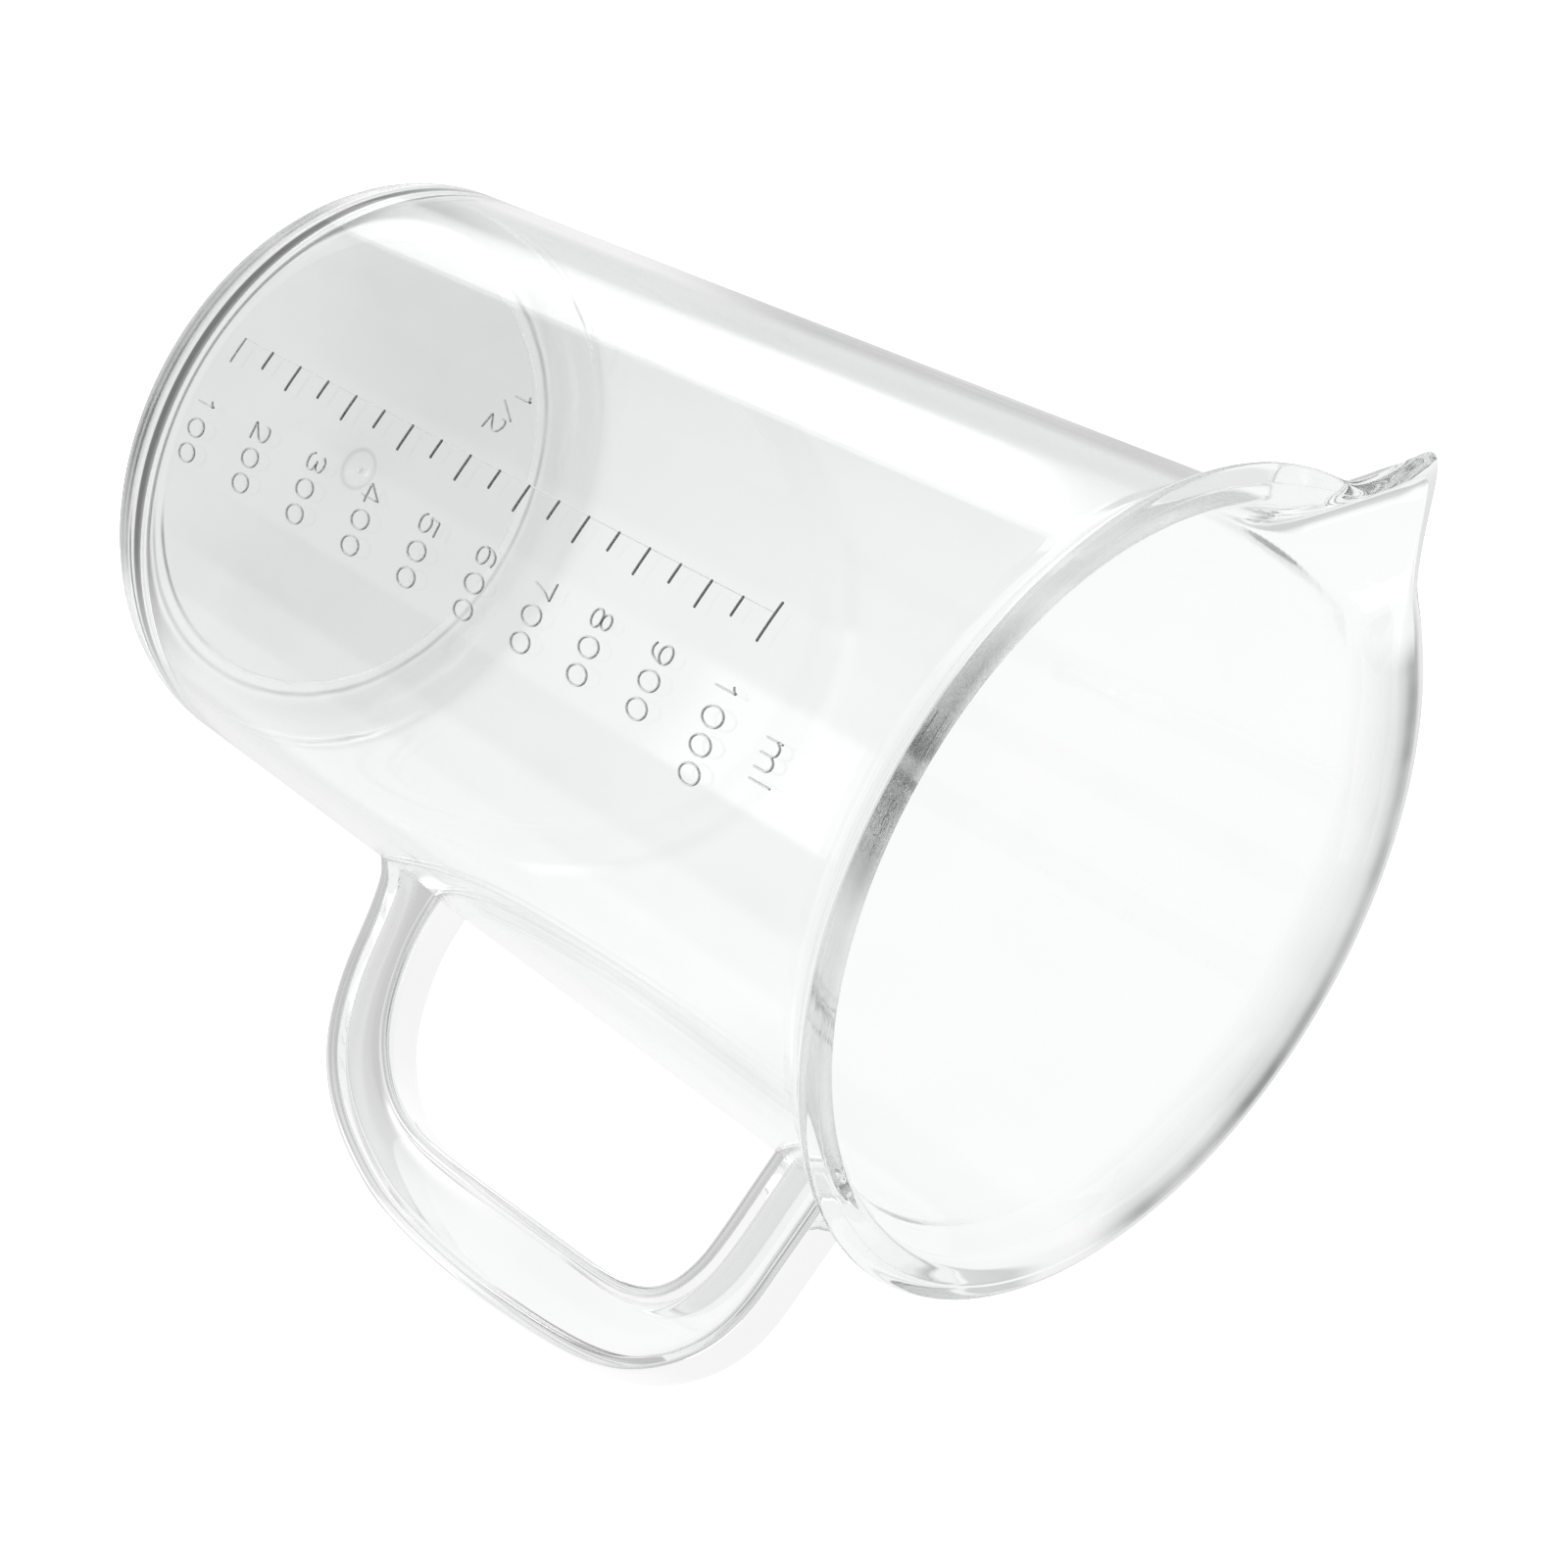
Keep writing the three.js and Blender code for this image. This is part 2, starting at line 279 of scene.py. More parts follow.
rim_inside = np.vstack(
    [
        [[58.2, RIM_TOP], [58.15, 168.97], [58.1, 168.9]],
        spline(
            [
                [57.95, 168.88],
                [57.2, 168.85],
                [56.15, 168.68],
                [55.3, 168.42],
                [54.65, 167.9],
                [54.15, 167.1],
                [53.6, 165.6],
                [53.1, 163.6],
                [r_in(161.0) + 0.15, 161.0],
                [r_in(158.0), 158.0],
            ],
            34,
        ),
    ]
)
in_z = np.r_[np.linspace(157.6, 148, 24), np.linspace(145, 13, 18)]
inner_wall = np.stack([r_in(in_z), in_z], 1)
in_corner = corner(R0 - WALL, FLOOR_TOP, 9.0, 16)[::-1]
floor_top = np.array(
    [
        [36.0, FLOOR_TOP],
        [28.0, FLOOR_TOP],
        [15.0, FLOOR_TOP],
        [7.0, FLOOR_TOP],
        [5.0, 2.0],
        [4.2, 2.02],
        [3.5, 2.1],
        [2.8, 2.22],
        [2.1, 2.35],
        [1.4, 2.46],
        [0.7, 2.53],
        [0.25, 2.55],
    ]
)

A_GEN = np.vstack([under, out_corner, outer_wall, rim_under])
C_GEN = np.vstack([rim_inside, inner_wall, in_corner, floor_top])
fade = 1 - smooth01((PHI - math.radians(18.0)) / math.radians(8))


def lift(z):
    return float(smooth01((z - 134.0) / 12.0))


def outer_ring(r, z):
    w = wing_r(PHI, z, D_OUT, 0.045)
    return r + lift(z) * fade * (smax(r, w, 1.1) - r)


def inner_ring(r, z):
    w = wing_r(PHI, z, D_IN, 0.022)
    return r + lift(z) * fade * (smax(r, w, 3.0) - r)


rows_r, rows_z = [], []
for r, z in A_GEN:
    rows_r.append(outer_ring(r, z))
    rows_z.append(np.full(COLS, z))
edge_out = rows_r[-1]
edge_in = inner_ring(*C_GEN[0])
for r, z in lip:
    s = (60.62 - r) / (60.62 - 58.2)
    rows_r.append(edge_out + s * (edge_in - edge_out))
    rows_z.append(np.full(COLS, z))
for r, z in C_GEN:
    rows_r.append(inner_ring(r, z))
    rows_z.append(np.full(COLS, z))
RR, ZZ = np.array(rows_r), np.array(rows_z)
# the beak's lip droops a little towards its tip
reach = np.clip((RR - 61.0) / 11.5, 0, 1)
ZZ = ZZ - 0.55 * reach * smooth01((ZZ - 166.0) / 3.0)
ROWS = len(RR)
body = np.stack([RR * np.cos(AZ), RR * np.sin(AZ), ZZ], -1).reshape(-1, 3)
verts = np.vstack([body, [[0, 0, 0.78]], [[0, 0, 2.55]]])
faces = grid_faces(ROWS, COLS)
low, high = ROWS * COLS, ROWS * COLS + 1
faces += [[low, (c + 1) % COLS, c] for c in range(COLS)]
top0 = (ROWS - 1) * COLS
faces += [[high, top0 + c, top0 + (c + 1) % COLS] for c in range(COLS)]
# painted shade along the rim, the foot rings, the gate dimple, the panel under the base and the bottom corner: weights
# by the profile's own radius, then by direction, so some sides are darker than others
AZ_DEG = (np.degrees(AZ) + 180.0) % 360.0 - 180.0


def between(lo, hi, soft):
    return smooth01((AZ_DEG - lo) / soft) * smooth01((hi - AZ_DEG) / soft)


# painted shade across the rim by radius: light on the near side, heavier on the far side, less inside the beak
RIM_NEAR_SHADE = (
    [54.2, 54.6, 55.0, 55.4, 55.8, 56.2, 57.0, 57.5, 57.9, 58.2, 58.6, 59.2, 60.0],
    [0.0, 0.25, 0.4, 0.3, 0.1, 0.0, 0.0, 0.05, 0.12, 0.12, 0.05, 0.02, 0.0],
)
RIM_FAR_SHADE = (
    [52.6, 53.1, 53.6, 54.0, 54.3, 54.65, 55.3, 55.8, 56.2, 56.6, 57.0, 57.8, 58.2, 58.6, 59.0, 60.2, 60.62],
    [0.0, 0.1, 0.2, 0.27, 0.34, 0.42, 0.45, 0.5, 0.6, 0.75, 0.85, 0.9, 0.85, 0.55, 0.18, 0.12, 0.0],
)
# painted shade by radius under the base: the gate dimple, the panel and the two foot rings, the rings mostly over one
# range of directions
FOOT_SHADE = (
    [0.0, 0.45, 0.7, 2.7, 3.1, 3.4, 3.7, 4.0, 37.5, 37.85, 38.0, 38.3, 38.45, 38.7, 39.8, 40.2, 40.5, 40.8, 41.2],
    [0.8, 0.7, 0.2, 0.2, 0.55, 0.5, 0.2, 0.12, 0.14, 0.2, 1.0, 1.0, 0.3, 0.0, 0.0, 0.55, 0.8, 0.55, 0.0],
)
# painted shade on the bottom corner by height, on the near side only
CORNER_SHADE = ([0.5, 1.8, 3.0, 3.9, 4.5, 5.0, 5.5, 5.9, 6.4, 7.0], [0.1, 0.3, 0.3, 0.7, 1.0, 0.5, 1.0, 0.6, 0.1, 0.0])
on_near = between(-140, -16, 16)
on_far = between(44, 172, 16)
on_foot = np.maximum(between(-55, 178, 14), 0.08)
on_corner = between(-130, -34, 12)
shade_weight = []
for r, z in A_GEN:
    if z < 1.2 and r < 41.4:
        shade_weight.append(np.interp(r, *FOOT_SHADE) * (on_foot if r > 37.9 else np.ones(COLS)))
    elif z < 8.0:
        shade_weight.append(np.interp(z, *CORNER_SHADE) * on_corner)
    else:
        shade_weight.append(np.zeros(COLS))
for r, z in np.vstack([lip, C_GEN]):
    if z > 160.0:
        across = np.interp(r, *RIM_NEAR_SHADE) * np.maximum(on_near, 0.12) + np.interp(r, *RIM_FAR_SHADE) * on_far
        shade_weight.append(across * (1.0 if r > 58.0 else 1 - fade))
    else:
        shade_weight.append(np.zeros(COLS))
jug = make("jug_body", verts, faces, CLEAR, 50, np.r_[np.concatenate(shade_weight), 0.3, 0.0])

# ------------------------------------------------------------------ handle, I section
PAIRS = np.array(
    [  # outside x, z; finger gap x, z
        [49.0, 55.6, 50.2, 72.3],
        [50.6, 57.2, 51.0, 72.3],
        [53.0, 59.5, 53.2, 72.35],
        [57.1, 61.3, 55.9, 72.6],
        [61.6, 62.7, 58.9, 73.2],
        [65.8, 63.9, 62.3, 74.3],
        [69.8, 65.4, 65.2, 75.5],
        [73.9, 67.4, 67.8, 76.8],
        [77.7, 69.9, 70.3, 78.4],
        [81.2, 73.1, 72.9, 80.6],
        [84.5, 77.2, 75.4, 83.4],
        [87.3, 81.9, 77.6, 86.6],
        [89.8, 87.6, 79.4, 90.6],
        [92.0, 94.4, 80.5, 95.6],
        [93.2, 101.0, 80.9, 101.4],
        [93.9, 108.5, 81.0, 108.6],
        [94.2, 118.0, 80.9, 118.0],
        [93.9, 127.1, 80.8, 127.0],
        [93.2, 135.6, 80.7, 134.6],
        [92.2, 141.4, 80.2, 139.2],
        [90.7, 146.0, 79.2, 142.2],
        [88.5, 149.8, 77.8, 144.3],
        [85.6, 153.1, 75.9, 145.8],
        [82.0, 155.9, 73.7, 146.7],
        [77.8, 157.8, 71.2, 147.25],
        [72.8, 158.7, 68.4, 147.4],
        [66.2, 158.8, 64.4, 147.4],
        [60.0, 158.8, 59.4, 147.3],
        [55.6, 158.8, 55.2, 147.25],
        [53.4, 158.8, 53.0, 147.2],
    ]
)
FI, FO, HW, HF = 1.9, 2.1, 0.95, 4.15
RC, RF = 0.65, 0.9  # edge rounding and fillet


def arc(cx, cy, r, a0, a1, n=6):
    a = np.radians(np.linspace(a0, a1, n))
    return [(cx + r * math.cos(v), cy + r * math.sin(v)) for v in a]


# half outline for y >= 0, as (side, s, y): side 0 counts s from the gap, 1 from the outside
half = [(0, 0.0, 0.0), (0, 0.0, HF * 0.5)]
half += [(0, s, y) for s, y in arc(RC, HF - RC, RC, 180, 90)]
half += [(0, s, y) for s, y in arc(FI - RC, HF - RC, RC, 90, 0)]
half += [(0, s, y) for s, y in arc(FI + RF, HW + RF, RF, 180, 270)]
half += [(1, s, y) for s, y in arc(FO + RF, HW + RF, RF, 270, 180)]
half += [(1, s, y) for s, y in arc(FO - RC, HF - RC, RC, 0, 90)]
half += [(1, s, y) for s, y in arc(RC, HF - RC, RC, 90, 180)]
half += [(1, 0.0, HF * 0.5), (1, 0.0, 0.0)]
section = half + [(a, s, -y) for a, s, y in half[-2:0:-1]]
NST = 150
path = spline(PAIRS, NST)
rows = []
for ox, oz, gx, gz in path:
    o, g = np.array([ox, oz]), np.array([gx, gz])
    L = np.linalg.norm(o - g)
    d = (o - g) / L
    rows.append(
        [
            (*(g + d * (s if a == 0 else L - s)), y)
            for a, s, y in section
        ]
    )
rows = np.array(rows)[:, :, [0, 2, 1]]
NSEC = len(section)
hv = rows.reshape(-1, 3)
hf = grid_faces(NST, NSEC)
hf.append(list(range(NSEC))[::-1])
hf.append([(NST - 1) * NSEC + i for i in range(NSEC)])
# painted shade along the rounded edges of the handle's flanges, fainter at the fillets
flange_edge_shade = [0.0] * 2 + [0.1, 0.3, 0.45, 0.45, 0.3, 0.1] * 2 + [0.0, 0.04, 0.06, 0.06, 0.04, 0.0] * 2
flange_edge_shade += [0.1, 0.3, 0.45, 0.45, 0.3, 0.1] * 2 + [0.0] * 2
flange_edge_shade += flange_edge_shade[-2:0:-1]
handle = make("jug_handle", hv, hf, CLEAR, 60, np.tile(flange_edge_shade, NST))


# ------------------------------------------------------------------ raised scale
def on_wall(s, z, h):
    r = r_out(z)
    a = -math.pi / 2 + s / r
    return np.stack([(r + h) * np.cos(a), (r + h) * np.sin(a), z], -1)


BEAD_W, BEAD_H, SUNK = 0.33, 0.28, 0.12


def bead(path, closed=False, width=BEAD_W, height=BEAD_H):
    """Vertices and faces of a rounded rib along a path of (arc, height) points."""
    p = np.asarray(path, float)
    n = len(p)
    if closed:
        t = np.roll(p, -1, 0) - np.roll(p, 1, 0)
    else:
        t = np.gradient(p, axis=0)
    t /= np.linalg.norm(t, axis=1)[:, None]
    nrm = np.stack([-t[:, 1], t[:, 0]], 1)
    a = np.radians(np.linspace(0, 180, 9))
    q = np.r_[np.cos(a), -1.0, 1.0] * width / 2
    h = np.r_[np.sin(a) * height, -SUNK, -SUNK]
    scale = np.ones(n)
    if not closed:
        cap = np.array([0.0, 0.6, 0.87, 1.0])
        ext = np.array([1.0, 0.8, 0.5, 0.0]) * width / 2
        start = p[0] - t[0] * ext[:-1, None]
        end = p[-1] + t[-1] * ext[:-1, None][::-1]
        p = np.vstack([start, p, end])
        nrm = np.vstack([np.repeat(nrm[:1], 3, 0), nrm, np.repeat(nrm[-1:], 3, 0)])
        scale = np.r_[np.maximum(cap[:3], 0.15), scale, np.maximum(cap[:3][::-1], 0.15)]
        n = len(p)
    s = p[:, None, 0] + nrm[:, None, 0] * q[None] * scale[:, None]
    z = p[:, None, 1] + nrm[:, None, 1] * q[None] * scale[:, None]
    hh = np.where(h[None] > 0, h[None] * scale[:, None], h[None])
    v = on_wall(s, z, hh).reshape(-1, 3)
    m = len(q)
    if closed:
        f = grid_faces(n + 1, m)
        f = [[i % (n * m) for i in face] for face in f]
    else:
        f = grid_faces(n, m)
        f.append(list(range(m))[::-1])
        f.append([(n - 1) * m + i for i in range(m)])
    return v, f


def outward(v, f):
    """Faces turned so that the closed shape has positive volume."""
    vol = 0.0
    for face in f:
        a = v[face[0]]
        for i in range(1, len(face) - 1):
            vol += float(np.dot(a, np.cross(v[face[i]], v[face[i + 1]])))
    return f if vol > 0 else [face[::-1] for face in f]


def relief(name, strokes, *nodes, material=RELIEF, width=BEAD_W, height=BEAD_H):
    vs, fs, base = [], [], 0
    for path, closed in strokes:
        v, f = bead(path, closed, width, height)
        f = outward(v - v.mean(0), f)
        vs.append(v)
        fs += [[i + base for i in face] for face in f]
        base += len(v)
    ob = make(name, np.vstack(vs), fs, material, 60)
    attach(ob, "root")
    if nodes:
        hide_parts(*nodes)
    return ob


def level(ml):
    """Height at which the inside holds that much."""
    zc = FLOOR_TOP + CORNER_IN
    arc0 = corner(R0 - WALL, FLOOR_TOP, CORNER_IN, 2)[0][0]
    z = np.arange(FLOOR_TOP, 165, 0.01) + 0.005
    rad = np.where(
        z < zc,
        arc0 + np.sqrt(np.clip(CORNER_IN**2 - (zc - z) ** 2, 0, None)),
        r_in(z),
    )
    v = np.cumsum(math.pi * rad**2 * 0.01) / 1000
    return float(z[np.searchsorted(v, ml)])


def line(a, b, n=6):
    return np.linspace(a, b, n)


def curve(points, n=28):
    return spline(points, n)


# strokes of each figure in a box 1 wide and 1 high
def ring_path(cx, cy, rx, ry, n=36):
    a = np.linspace(0, 2 * math.pi, n, endpoint=False) + math.pi / 2
    return np.stack([cx + rx * np.cos(a), cy + ry * np.sin(a)], 1)


FIG = {
    "0": [(ring_path(0.5, 0.5, 0.5, 0.5), True)],
    "1": [(np.vstack([curve([(0.3, 0.78), (0.45, 0.86), (0.55, 1.0)], 6), line((0.55, 0.97), (0.55, 0.0), 10)]), False)],
    "2": [
        (
            np.vstack(
                [
                    curve([(0.06, 0.72), (0.14, 0.91), (0.46, 1.0), (0.82, 0.9), (0.92, 0.7), (0.78, 0.48), (0.4, 0.24), (0.06, 0.02)], 24),
                    line((0.1, 0.0), (0.96, 0.0), 8),
                ]
            ),
            False,
        )
    ],
    "3": [
        (curve([(0.06, 0.82), (0.25, 0.97), (0.55, 1.0), (0.85, 0.88), (0.87, 0.68), (0.66, 0.55), (0.4, 0.53)], 22), False),
        (curve([(0.6, 0.54), (0.86, 0.44), (0.95, 0.25), (0.8, 0.06), (0.48, 0.0), (0.16, 0.05), (0.02, 0.22)], 22), False),
    ],
    "4": [
        (np.vstack([line((0.72, 0.98), (0.03, 0.3), 10), line((0.08, 0.27), (1.0, 0.27), 10)]), False),
        (line((0.74, 0.86), (0.74, 0.0), 10), False),
    ],
    "5": [
        (
            np.vstack(
                [
                    line((0.9, 1.0), (0.2, 1.0), 8),
                    line((0.17, 0.96), (0.1, 0.52), 6),
                    curve([(0.14, 0.52), (0.42, 0.63), (0.78, 0.56), (0.95, 0.33), (0.82, 0.08), (0.46, 0.0), (0.14, 0.06), (0.02, 0.2)], 24),
                ]
            ),
            False,
        )
    ],
    "6": [
        (ring_path(0.5, 0.3, 0.46, 0.3), True),
        (curve([(0.84, 0.93), (0.6, 1.0), (0.3, 0.92), (0.1, 0.65), (0.05, 0.36)], 18), False),
    ],
    "7": [(np.vstack([line((0.04, 1.0), (0.92, 1.0), 9), curve([(0.93, 0.96), (0.62, 0.55), (0.4, 0.0)], 12)]), False)],
    "8": [(ring_path(0.5, 0.76, 0.38, 0.24), True), (ring_path(0.5, 0.26, 0.47, 0.26), True)],
    "9": [
        (ring_path(0.5, 0.7, 0.46, 0.3), True),
        (curve([(0.16, 0.07), (0.4, 0.0), (0.7, 0.08), (0.9, 0.35), (0.95, 0.64)], 18), False),
    ],
}


def figure(ch, s, z, w=2.75, h=3.75):
    return [
        (np.stack([s + (p[:, 0] - 0.5) * w, z + (p[:, 1] - 0.5) * h], 1), closed)
        for p, closed in FIG[ch]
    ]


top = level(1000)
relief("scale_spine_rib", [(line((-0.35, level(100)), (-0.35, top - 0.2), 60), False)], "scale_spine", material=CLEAR, width=0.26, height=0.1)
for ml in range(100, 1001, 50):
    z = level(ml)
    a, b = (-1.9, 3.9) if ml == 1000 else (-0.25, 2.6 if ml % 100 else 3.8)
    relief("tick_rib_%04d" % ml, [(line((a, z), (b, z), 12), False)], "tick_%04d" % ml, material=RELIEF if ml == 100 else TICK)
NUMERAL_DROP = {700: 0.2, 800: 0.7, 900: 0.75, 1000: 0.3}
for ml in range(100, 1001, 100):
    z = level(ml)
    strokes = []
    for i, ch in enumerate(str(ml)):
        strokes += figure(ch, 11.0 + 3.95 * i, z - NUMERAL_DROP.get(ml, 0.0))
    relief("numeral_%d" % ml, strokes)
z = level(500)
relief(
    "numeral_half",
    figure("1", -11.1, z + 0.8, 2.4, 3.2)
    + [(line((-9.6, z - 1.9), (-7.2, z + 1.9), 10), False)]
    + figure("2", -5.9, z - 0.2, 2.5, 3.4),
)
zm = 145.5
m_strokes = [
    (line((13.8, zm + 1.3), (13.8, zm - 1.45), 8), False),
    (np.vstack([curve([(13.9, zm + 0.6), (14.5, zm + 1.25), (15.3, zm + 1.2), (15.75, zm + 0.6)], 12), line((15.8, zm + 0.4), (15.8, zm - 1.45), 7)]), False),
    (np.vstack([curve([(15.9, zm + 0.6), (16.5, zm + 1.25), (17.3, zm + 1.2), (17.75, zm + 0.6)], 12), line((17.8, zm + 0.4), (17.8, zm - 1.45), 7)]), False),
    (line((19.4, zm + 2.3), (19.4, zm - 1.45), 10), False),
]
relief("unit_ml", m_strokes)

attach(jug, "root")
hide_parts("base_floor", "foot_ring", "barrel_wall", "rim_bead", "pour_spout")
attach(handle, "root")
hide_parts("handle_web", "handle_outer_flange", "handle_inner_flange")


# ------------------------------------------------------------------ stage
def stage_material(name, colour, glow):
    """Pale paper that glows a little, with a faint unevenness."""
    m = bpy.data.materials.new(name)
    m.use_nodes = True
    t = m.node_tree
    b = t.nodes["Principled BSDF"]
    n = node(t, "ShaderNodeTexNoise", Scale=6.0, Detail=2.0)
    ramp = t.nodes.new("ShaderNodeValToRGB")
    ramp.color_ramp.elements[0].color = (*[c * 0.985 for c in colour], 1)
    ramp.color_ramp.elements[1].color = (*colour, 1)
    t.links.new(n.outputs["Fac"], ramp.inputs["Fac"])
    t.links.new(ramp.outputs["Color"], b.inputs["Base Color"])
    t.links.new(ramp.outputs["Color"], b.inputs["Emission Color"])
    b.inputs["Emission Strength"].default_value = glow
    b.inputs["Roughness"].default_value = 0.9
    b.inputs["Specular IOR Level"].default_value = 0.0
    return m


bpy.ops.mesh.primitive_plane_add(size=8.0, location=(0, 0, -0.0003))
floor = bpy.context.object
floor.name = "studio_floor"
floor.data.materials.append(stage_material("studio_floor", (0.92, 0.92, 0.92), 1.1))
floor.visible_transmission = False
floor.visible_glossy = False
floor.visible_diffuse = False

# a glowing disc right under the jug with painted shadow: in shade under the base, darkest where the rounded corner
# lifts off
bpy.ops.mesh.primitive_circle_add(vertices=96, radius=0.053, fill_type="NGON", location=(0, 0, -0.0002))
shade = bpy.context.object
shade.name = "floor_shade"
sm = bpy.data.materials.new("floor_shade")
sm.use_nodes = True
st = sm.node_tree
st.nodes.clear()
s_out = st.nodes.new("ShaderNodeOutputMaterial")
s_em = st.nodes.new("ShaderNodeEmission")
s_tc = st.nodes.new("ShaderNodeTexCoord")
s_len = st.nodes.new("ShaderNodeVectorMath")
s_len.operation = "LENGTH"
s_div = st.nodes.new("ShaderNodeMath")
s_div.operation = "DIVIDE"
s_div.inputs[1].default_value = 0.053
s_ramp = st.nodes.new("ShaderNodeValToRGB")
SHADE = [(0.0, 0.0), (41.4, 0.0), (42.6, 0.85), (46.0, 0.85), (49.0, 0.35), (53.0, 0.0)]
marks = s_ramp.color_ramp.elements
while len(marks) < len(SHADE):
    marks.new(0.5)
for e, (r, v) in zip(marks, SHADE):
    e.position = r / 53.0
    e.color = (v, v, v, 1)
st.links.new(s_tc.outputs["Object"], s_len.inputs[0])
st.links.new(s_len.outputs["Value"], s_div.inputs[0])
st.links.new(s_div.outputs[0], s_ramp.inputs["Fac"])
# painted shadow: the dark ring beyond the base is full on the -Y side and much fainter on the +Y side
s_xyz = st.nodes.new("ShaderNodeSeparateXYZ")
st.links.new(s_tc.outputs["Object"], s_xyz.inputs["Vector"])
s_side = st.nodes.new("ShaderNodeMapRange")
s_side.interpolation_type = "SMOOTHSTEP"
for k, v in (("From Min", 0.0), ("From Max", -0.034), ("To Min", 0.12), ("To Max", 1.0)):
    s_side.inputs[k].default_value = v
st.links.new(s_xyz.outputs["Y"], s_side.inputs["Value"])
s_mul = st.nodes.new("ShaderNodeMath")
s_mul.operation = "MULTIPLY"
st.links.new(s_ramp.outputs["Color"], s_mul.inputs[0])
st.links.new(s_side.outputs["Result"], s_mul.inputs[1])
s_sub = st.nodes.new("ShaderNodeMath")
s_sub.operation = "MULTIPLY_ADD"
s_sub.inputs[1].default_value = -0.8
s_sub.inputs[2].default_value = 0.8
st.links.new(s_mul.outputs[0], s_sub.inputs[0])
st.links.new(s_sub.outputs[0], s_em.inputs["Strength"])
st.links.new(s_em.outputs["Emission"], s_out.inputs["Surface"])
shade.data.materials.append(sm)
shade.visible_camera = False
shade.visible_diffuse = False
shade.visible_shadow = False

scene = bpy.context.scene
world = bpy.data.worlds.new("studio")
scene.world = world
world.use_nodes = True
wt = world.node_tree
bg = wt.nodes["Background"]


def math_node(op, a, b=None):
    n = wt.nodes.new("ShaderNodeMath")
    n.operation = op
    for i, v in enumerate((a, b)):
        if v is None:
            continue
        if isinstance(v, (int, float)):
            n.inputs[i].default_value = v
        else:
            wt.links.new(v, n.inputs[i])
    return n.outputs[0]


def ramp_node(v, lo, hi, out_lo=0.0, out_hi=1.0):
    n = wt.nodes.new("ShaderNodeMapRange")
    n.interpolation_type = "SMOOTHSTEP"
    wt.links.new(v, n.inputs["Value"])
    n.inputs["From Min"].default_value = lo
    n.inputs["From Max"].default_value = hi
    n.inputs["To Min"].default_value = out_lo
    n.inputs["To Max"].default_value = out_hi
    return n.outputs["Result"]


# brightness of the surroundings by height (sine of the elevation): an even white tent, greyer underneath
LEVELS = [
    (-1.0, 0.64), (-0.94, 0.73), (-0.88, 0.78), (-0.82, 0.83), (-0.755, 0.88), (-0.69, 0.92), (-0.62, 0.97),
    (-0.5, 0.99), (-0.26, 0.96), (0.0, 0.92), (0.5, 0.91), (1.0, 0.96),
]
way = wt.nodes.new("ShaderNodeTexCoord")
xyz = wt.nodes.new("ShaderNodeSeparateXYZ")
wt.links.new(way.outputs["Generated"], xyz.inputs["Vector"])
turn = math_node("ARCTAN2", xyz.outputs["Y"], xyz.outputs["X"])
degrees = math_node("MULTIPLY", turn, 180 / math.pi)
height = xyz.outputs["Z"]
tent = wt.nodes.new("ShaderNodeValToRGB")
stops = tent.color_ramp.elements
while len(stops) < len(LEVELS):
    stops.new(0.5)
for e, (z, v) in zip(stops, LEVELS):
    e.position = (z + 1) / 2
    e.color = (v, v, v, 1)
wt.links.new(math_node("MULTIPLY", math_node("ADD", height, 1.0), 0.5), tent.inputs["Fac"])


def times(first, *more):
    for m_ in more:
        first = math_node("MULTIPLY", first, m_)
    return first


def dimmed(light, amount, where_):
    """The light, less that share of it where the mask is 1."""
    return math_node("MULTIPLY", light, math_node("SUBTRACT", 1.0, math_node("MULTIPLY", where_, amount)))


# a grey card on the beak's side, the tent's greyer wall beyond it, and a bright gap low down
card = times(
    ramp_node(degrees, 113, 118), ramp_node(degrees, 134, 139, 1.0, 0.0),
    ramp_node(height, -0.707, -0.66), ramp_node(height, -0.559, -0.53, 1.0, 0.0),
)
wall_ = times(
    ramp_node(degrees, 134, 139), ramp_node(degrees, 164, 179, 1.0, 0.0),
    ramp_node(height, -0.80, -0.72), ramp_node(height, -0.1, 0.0, 1.0, 0.0),
)
facing = wt.nodes.new("ShaderNodeVectorMath")
facing.operation = "DOT_PRODUCT"
wt.links.new(way.outputs["Generated"], facing.inputs[0])
facing.inputs[1].default_value = (-0.469, -0.016, -0.883)
gap = ramp_node(facing.outputs["Value"], 0.94, 0.975)
glow = dimmed(dimmed(dimmed(tent.outputs["Color"], 0.36, card), 0.18, wall_), -0.5, gap)
# what the near wall mirrors: a bright screen on the beak's side, darker stretches, a lamp in front, a bright end
band = times(ramp_node(height, -0.80, -0.775), ramp_node(height, -0.635, -0.605, 1.0, 0.0))
screen = times(math_node("MAXIMUM", ramp_node(degrees, 160, 164), ramp_node(degrees, -166.8, -165.6, 1.0, 0.0)), band, ramp_node(height, -0.80, -0.64, 0.3, 1.0))
dusk = times(ramp_node(degrees, -166.8, -165.6), ramp_node(degrees, -110, -104, 1.0, 0.0), band)
dusk_2 = times(ramp_node(degrees, -110, -104), ramp_node(degrees, -84, -78, 1.0, 0.0), band)
lamp = times(
    ramp_node(degrees, -84, -78), ramp_node(degrees, -48, -45, 1.0, 0.0),
    ramp_node(height, -0.70, -0.688), ramp_node(height, -0.635, -0.605, 1.0, 0.0),
)
dusk_3 = times(ramp_node(degrees, -48, -45), ramp_node(degrees, -22, -16, 1.0, 0.0), band)
end_ = times(ramp_node(degrees, 0, 4), ramp_node(degrees, 40, 48, 1.0, 0.0), band)
for part, amount in ((screen, -1.1), (dusk, 0.65), (dusk_2, 0.35), (lamp, -0.85), (dusk_3, 0.45), (end_, -0.25)):
    glow = dimmed(glow, amount, part)
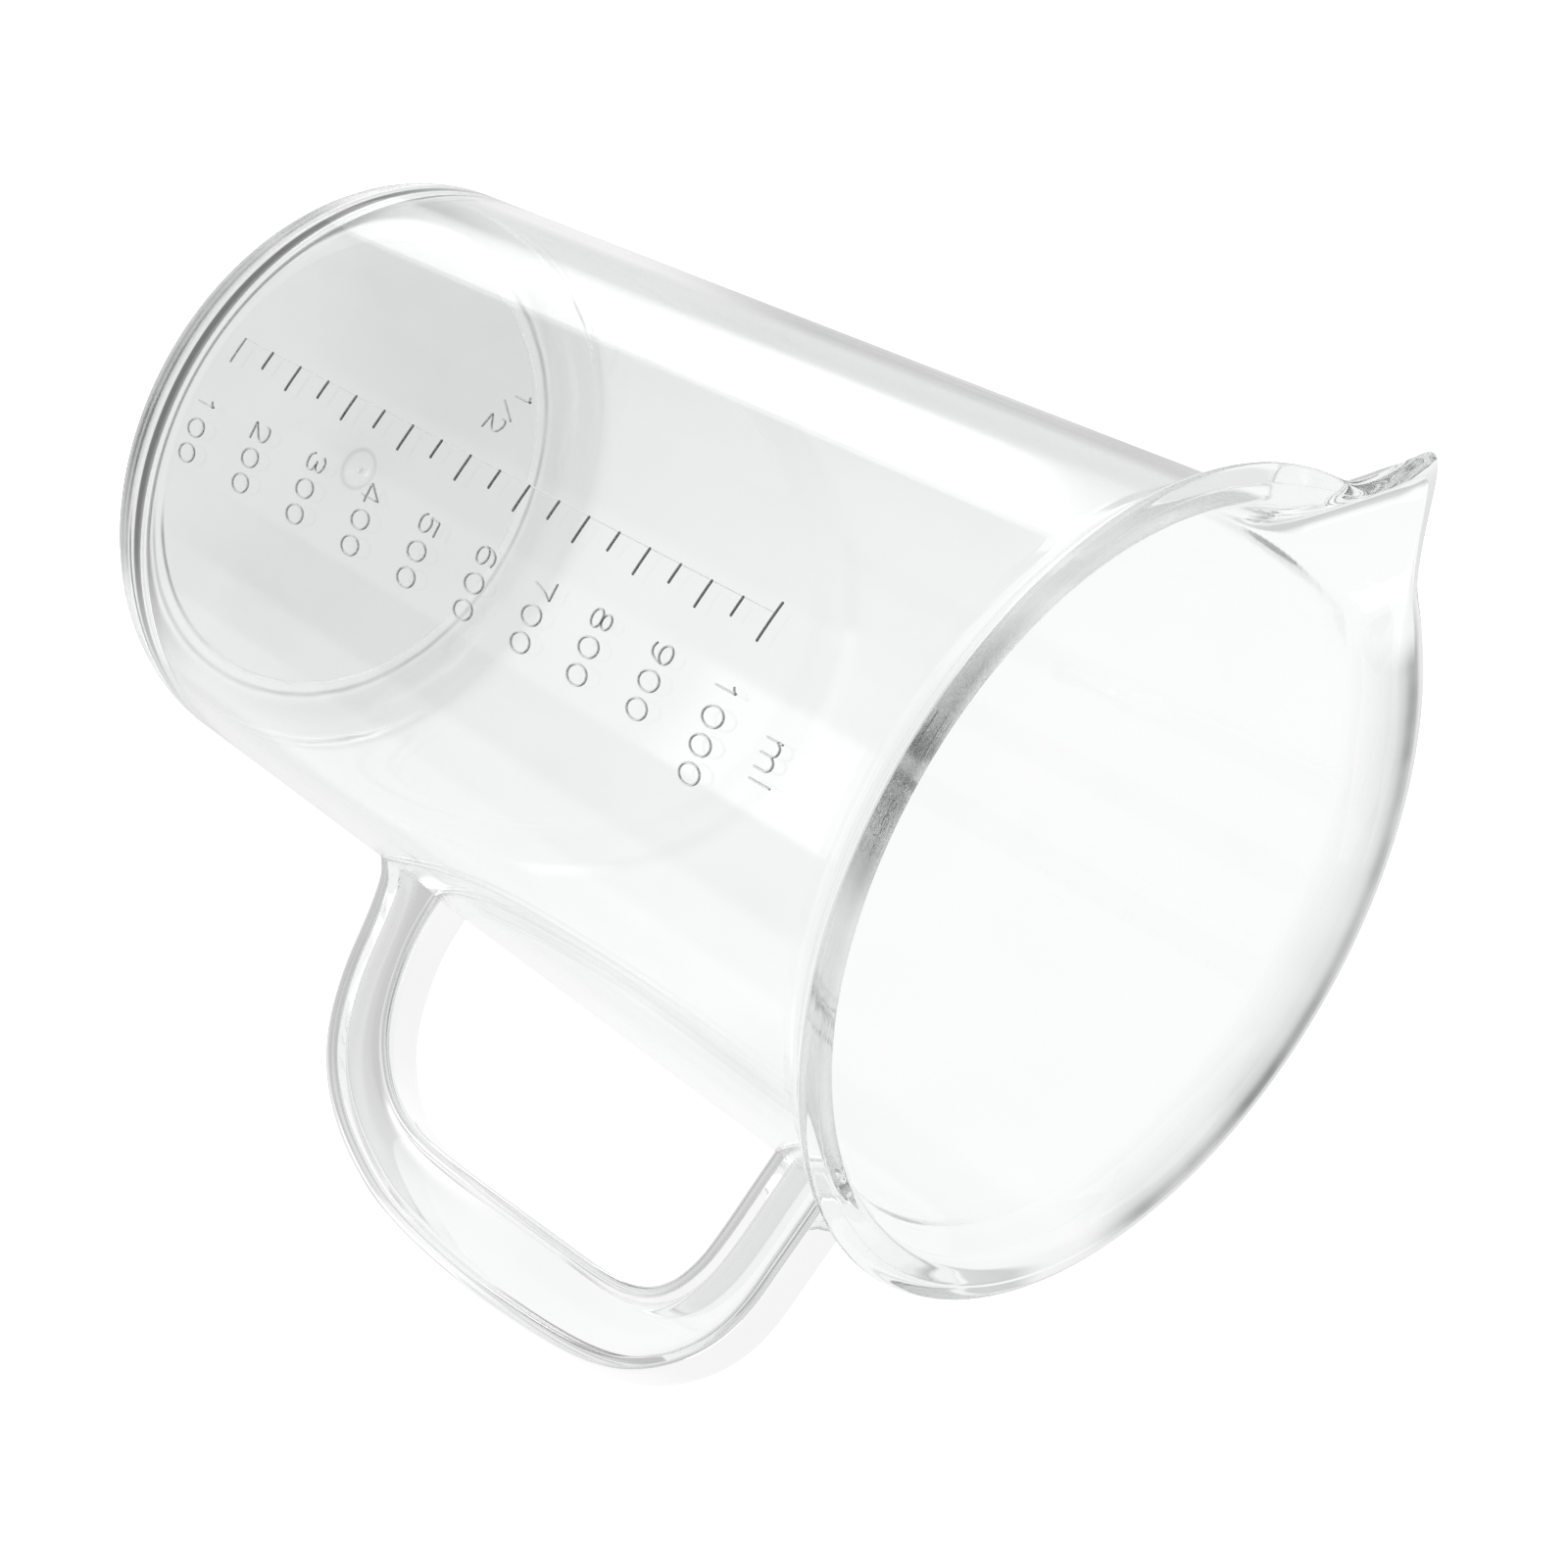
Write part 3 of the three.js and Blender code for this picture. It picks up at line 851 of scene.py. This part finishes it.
# faint upright seams of the tent, seen in the mouth
seams = times(
    ramp_node(math_node("SINE", math_node("MULTIPLY", degrees, 0.21)), 0.2, 0.8),
    ramp_node(height, -0.62, -0.58), ramp_node(height, -0.35, -0.3, 1.0, 0.0),
    ramp_node(degrees, -110, -80), ramp_node(degrees, -20, -10, 1.0, 0.0),
)
glow = dimmed(glow, 0.2, seams)
wt.links.new(glow, bg.inputs["Strength"])
bg.inputs["Color"].default_value = (1, 1, 1, 1)


def softbox(name, loc, aim, size, power):
    d = bpy.data.lights.new(name, "AREA")
    d.shape = "RECTANGLE"
    d.size, d.size_y = size
    d.energy = power
    o = bpy.data.objects.new(name, d)
    o.location = loc
    o.rotation_euler = (Vector(aim) - Vector(loc)).to_track_quat("-Z", "Y").to_euler()
    scene.collection.objects.link(o)
    return o


softbox("key", (-0.9, -0.4, 1.5), (0, 0.1, 0.05), (1.2, 1.2), 4)
softbox("fill", (1.1, 0.3, 1.4), (0, 0.1, 0.05), (1.2, 1.2), 4)

scene.cycles.max_bounces = 160
scene.cycles.glossy_bounces = 160
scene.cycles.transmission_bounces = 160
scene.cycles.transparent_max_bounces = 16
scene.cycles.diffuse_bounces = 2

# ------------------------------------------------------------------ camera of the photo
cd = bpy.data.cameras.new("photo_camera")
cd.sensor_fit = "HORIZONTAL"
cd.sensor_width = 36.0
cd.lens = 3374.49 / 1600 * 36.0
cd.shift_x = (800 - 659.93) / 1600
cd.shift_y = (943.90 - 800) / 1600
cd.clip_start = 0.05
cd.clip_end = 20
cam = bpy.data.objects.new("photo_camera", cd)
right = Vector((-0.5758702338524051, 0.4808160256245507, 0.6612030121417992))
down = Vector((0.8154750561395997, 0.39528971859496403, 0.4227841898501308))
ahead = Vector((-0.058085338743039006, 0.7826633937241003, -0.6197290581757329))
m = Matrix.Identity(4)
for i in range(3):
    m[i][0], m[i][1], m[i][2] = right[i], -down[i], -ahead[i]
m.translation = Vector((0.06516799860103906, -0.3715955941185212, 0.39830000533441756))
cam.matrix_world = m
scene.collection.objects.link(cam)
scene.camera = cam
scene.view_settings.view_transform = "Standard"
scene.view_settings.look = "None"
